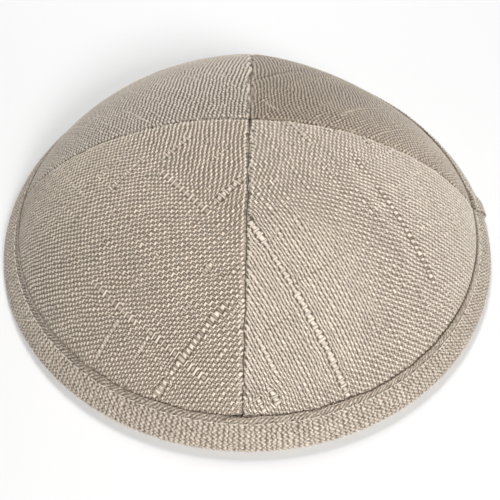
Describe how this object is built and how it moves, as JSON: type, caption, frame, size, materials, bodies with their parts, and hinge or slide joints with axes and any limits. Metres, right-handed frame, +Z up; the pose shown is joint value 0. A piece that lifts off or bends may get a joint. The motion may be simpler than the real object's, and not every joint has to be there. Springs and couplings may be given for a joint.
{
  "type": "kippah skullcap",
  "caption": "Shallow domed skullcap of quarter panels in slubby plain-weave cloth, its rim bound with a folded bias band lapped at one side.",
  "frame": {"origin": "on the surface that the rim rests on, under the middle of the crown", "axes": "+Z up through the top of the crown, +Y to the back of the cap, +X to the side where the band's ends lap"},
  "size_m": [0.177, 0.1842, 0.0494],
  "materials": {
    "crown_cloth": "slubby plain weave with a faint sheen",
    "band_cloth": "the same cloth cut on the bias, folded and stitched"
  },
  "bodies": {
    "root": {"crown_panel_front_left": "crown_cloth", "crown_panel_front_right": "crown_cloth", "crown_panel_back_left": "crown_cloth", "crown_panel_back_right": "crown_cloth", "rim_band": "band_cloth"}
  },
  "joints": []
}
